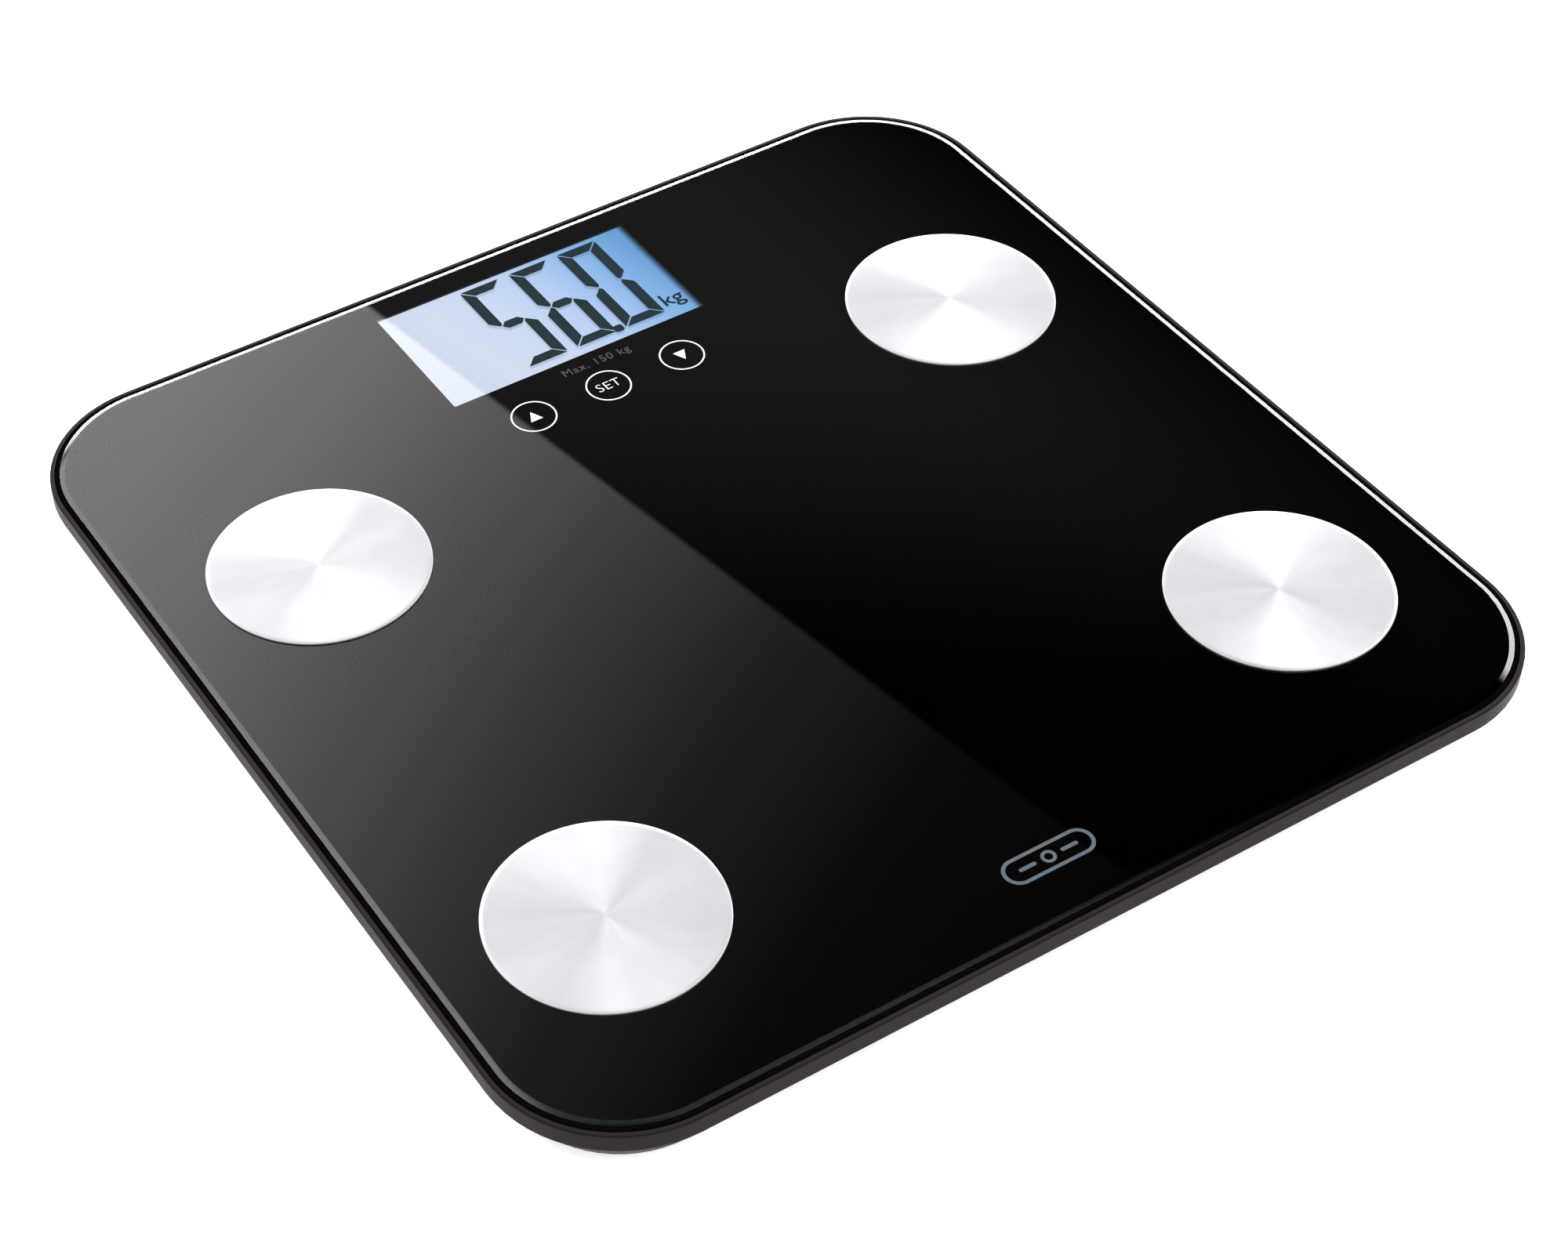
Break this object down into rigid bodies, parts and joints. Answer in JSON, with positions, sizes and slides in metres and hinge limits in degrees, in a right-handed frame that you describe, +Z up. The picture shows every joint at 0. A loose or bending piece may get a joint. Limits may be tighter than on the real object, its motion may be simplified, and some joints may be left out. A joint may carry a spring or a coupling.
{
  "type": "digital bathroom scale",
  "caption": "Square bathroom scale: glass platform with large rounded corners, flush steel electrodes, backlit display at the rear edge, touch keys and sprung feet.",
  "frame": {"origin": "centre of the footprint, on the surface that the feet rest on", "axes": "+Z up, +Y towards the edge that carries the display, +X to the user's right"},
  "size_m": [0.3, 0.3, 0.0225],
  "materials": {
    "glass": "clear float glass, polished bevel, black ink printed beneath",
    "electrode_steel": "circular brushed stainless steel",
    "bond_tape": "thin black acrylic foam tape",
    "fastener_steel": "zinc plated",
    "tinned_metal": "tinned",
    "tray_plastic": "fine spark texture",
    "foot_plastic": "satin moulded",
    "foot_rubber": "matt soft rubber",
    "button_plastic": "satin moulded",
    "inner_plastic": "natural moulded",
    "cell_steel": "stamped sheet",
    "gauge_resin": "white potting",
    "coin_steel": "nickel plated",
    "board_laminate": "solder mask",
    "chip_plastic": "moulded epoxy",
    "gasket_foam": "closed-cell foam",
    "lcd_glass": "lit liquid crystal cell",
    "guide_acrylic": "clear acrylic with white print",
    "contact_rubber": "layered conductive rubber",
    "lead_insulation": "PVC insulation"
  },
  "bodies": {
    "base": {"glass_platform": "glass", "electrode_front_left": "electrode_steel", "electrode_front_right": "electrode_steel", "electrode_rear_left": "electrode_steel", "electrode_rear_right": "electrode_steel", "electrode_tapes": "bond_tape", "platform_tape": "bond_tape", "electrode_nuts": "fastener_steel", "carrier_screws": "fastener_steel", "board_screws": "fastener_steel", "electrode_terminals": "tinned_metal", "battery_contact_negative": "tinned_metal", "battery_contact_positive": "tinned_metal", "battery_bridge": "tinned_metal", "base_tray": "tray_plastic", "load_cell_carrier_front_left": "inner_plastic", "load_cell_carrier_front_right": "inner_plastic", "load_cell_carrier_rear_left": "inner_plastic", "load_cell_carrier_rear_right": "inner_plastic", "display_holder": "inner_plastic", "lead_sockets": "inner_plastic", "load_cell_front_left": "cell_steel", "load_cell_front_right": "cell_steel", "load_cell_rear_left": "cell_steel", "load_cell_rear_right": "cell_steel", "strain_gauges": "gauge_resin", "coin_cell_left": "coin_steel", "coin_cell_right": "coin_steel", "main_board": "board_laminate", "controller_chip": "chip_plastic", "board_components": "chip_plastic", "unit_switch": "chip_plastic", "display_gasket": "gasket_foam", "touch_post_left": "gasket_foam", "touch_post_middle": "gasket_foam", "touch_post_right": "gasket_foam", "lcd_cell": "lcd_glass", "lcd_front_polariser": "lcd_glass", "lcd_rear_polariser": "lcd_glass", "backlight_guide": "guide_acrylic", "backlight_reflector": "guide_acrylic", "backlight_lamps": "guide_acrylic", "lcd_contact_strip": "contact_rubber", "load_cell_lead_front_left": "lead_insulation", "load_cell_lead_front_right": "lead_insulation", "load_cell_lead_rear_left": "lead_insulation", "load_cell_lead_rear_right": "lead_insulation", "electrode_leads": "lead_insulation", "battery_leads": "lead_insulation"},
    "foot_front_left": {"foot_cup_front_left": "foot_plastic", "foot_pad_front_left": "foot_rubber"},
    "foot_front_right": {"foot_cup_front_right": "foot_plastic", "foot_pad_front_right": "foot_rubber"},
    "foot_rear_left": {"foot_cup_rear_left": "foot_plastic", "foot_pad_rear_left": "foot_rubber"},
    "foot_rear_right": {"foot_cup_rear_right": "foot_plastic", "foot_pad_rear_right": "foot_rubber"},
    "battery_door": {"battery_door": "tray_plastic"},
    "unit_button": {"unit_button": "button_plastic"}
  },
  "joints": [
    {"name": "foot_press_front_left", "type": "slide", "parent": "base", "child": "foot_front_left", "axis": [0, 0, 1], "range_m": [0, 0.0006], "stiffness_N_per_m": 3000, "springref_m": -0.0025},
    {"name": "foot_press_front_right", "type": "slide", "parent": "base", "child": "foot_front_right", "axis": [0, 0, 1], "range_m": [0, 0.0006], "stiffness_N_per_m": 3000, "springref_m": -0.0025},
    {"name": "foot_press_rear_left", "type": "slide", "parent": "base", "child": "foot_rear_left", "axis": [0, 0, 1], "range_m": [0, 0.0006], "stiffness_N_per_m": 3000, "springref_m": -0.0025},
    {"name": "foot_press_rear_right", "type": "slide", "parent": "base", "child": "foot_rear_right", "axis": [0, 0, 1], "range_m": [0, 0.0006], "stiffness_N_per_m": 3000, "springref_m": -0.0025},
    {"name": "battery_door_hinge", "type": "hinge", "parent": "base", "child": "battery_door", "pos_m": [0, 0.0267, 0.0066], "axis": [1, 0, 0], "range_deg": [0, 95]},
    {"name": "unit_button_press", "type": "slide", "parent": "base", "child": "unit_button", "axis": [0, 0, 1], "range_m": [0, 0.0005], "stiffness_N_per_m": 1500, "springref_m": -0.0003}
  ]
}
